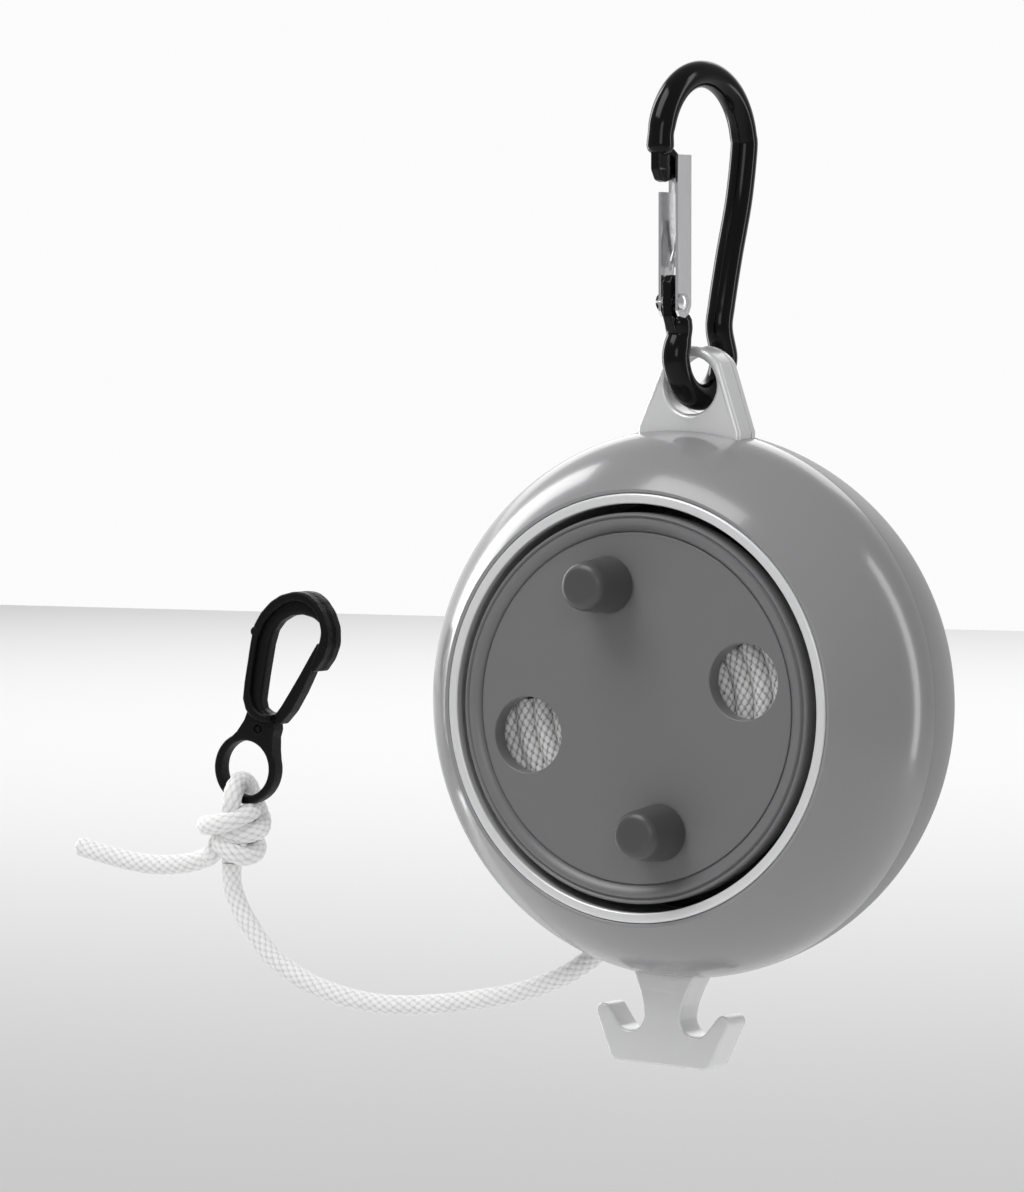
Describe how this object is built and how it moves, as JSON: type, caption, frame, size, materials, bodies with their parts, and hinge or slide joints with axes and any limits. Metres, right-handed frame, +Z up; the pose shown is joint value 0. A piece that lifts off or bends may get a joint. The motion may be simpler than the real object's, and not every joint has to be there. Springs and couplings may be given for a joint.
{
  "type": "clothesline reel",
  "caption": "Hand-wound portable clothesline reel: domed two-shell housing on a frame with hanging eye and double line hook, spool turned by finger pegs, carabiner, braided line with snap hook.",
  "frame": {"origin": "the inside of the carabiner's crown, where the object hangs", "axes": "+X the object's right side seen from its front, +Y the back, away from the finger pegs, +Z up, towards the carabiner's crown"},
  "size_m": [0.1712, 0.0525, 0.1721],
  "materials": {
    "shell_grey": "glossy moulded",
    "frame_silver": "satin silver",
    "spool_grey": "satin moulded",
    "peg_grey": "satin moulded",
    "line_white": "braided",
    "carabiner_black": "gloss black",
    "bright_steel": "polished",
    "hook_black": "fine moulded texture",
    "plain_black": "moulded"
  },
  "bodies": {
    "carabiner": {"carabiner_body": "carabiner_black"},
    "gate": {"gate": "bright_steel", "gate_rivet": "bright_steel", "gate_spring": "bright_steel"},
    "housing": {"front_shell": "shell_grey", "rear_shell": "shell_grey", "front_bezel": "frame_silver", "frame_front": "frame_silver", "frame_rear": "frame_silver", "line_guide": "plain_black", "axle_bushing": "plain_black", "back_cap": "shell_grey", "housing_screw_1": "bright_steel", "housing_screw_2": "bright_steel", "housing_screw_3": "bright_steel", "housing_screw_4": "bright_steel", "line": "line_white", "line_knot": "line_white", "line_loop": "line_white", "line_tail": "line_white", "snap_hook": "hook_black"},
    "spool": {"spool_front": "spool_grey", "spool_hub": "spool_grey", "spool_rear_flange": "spool_grey", "wound_line": "line_white", "axle_washer": "bright_steel", "axle_screw": "bright_steel", "peg_pin_1": "bright_steel", "peg_pin_2": "bright_steel"},
    "peg_1": {"finger_peg_1": "peg_grey"},
    "peg_2": {"finger_peg_2": "peg_grey"},
    "hook_tongue": {"snap_tongue": "hook_black"}
  },
  "joints": [
    {"name": "gate_hinge", "type": "hinge", "parent": "carabiner", "child": "gate", "pos_m": [-0.00085, -0.00806, -0.03645], "axis": [-0.9945, 0.1045, 0], "range_deg": [0, 30], "stiffness_Nm_per_rad": 0.002, "springref_deg": -2.86},
    {"name": "housing_swing", "type": "hinge", "parent": "carabiner", "child": "housing", "pos_m": [0, 0, -0.05055], "axis": [0, 1, 0], "range_deg": [-100, 100]},
    {"name": "spool_spin", "type": "hinge", "parent": "housing", "child": "spool", "pos_m": [-0.00266, 0, -0.10489], "axis": [0, 1, 0], "continuous": true},
    {"name": "peg_1_spin", "type": "hinge", "parent": "spool", "child": "peg_1", "pos_m": [-0.00771, -0.022, -0.08414], "axis": [0, 1, 0], "continuous": true},
    {"name": "peg_2_spin", "type": "hinge", "parent": "spool", "child": "peg_2", "pos_m": [0.0024, -0.022, -0.12563], "axis": [0, 1, 0], "continuous": true},
    {"name": "tongue_flex", "type": "hinge", "parent": "housing", "child": "hook_tongue", "pos_m": [-0.08396, 0, -0.11008], "axis": [0, -1, 0], "range_deg": [0, 20], "stiffness_Nm_per_rad": 0.0005}
  ]
}
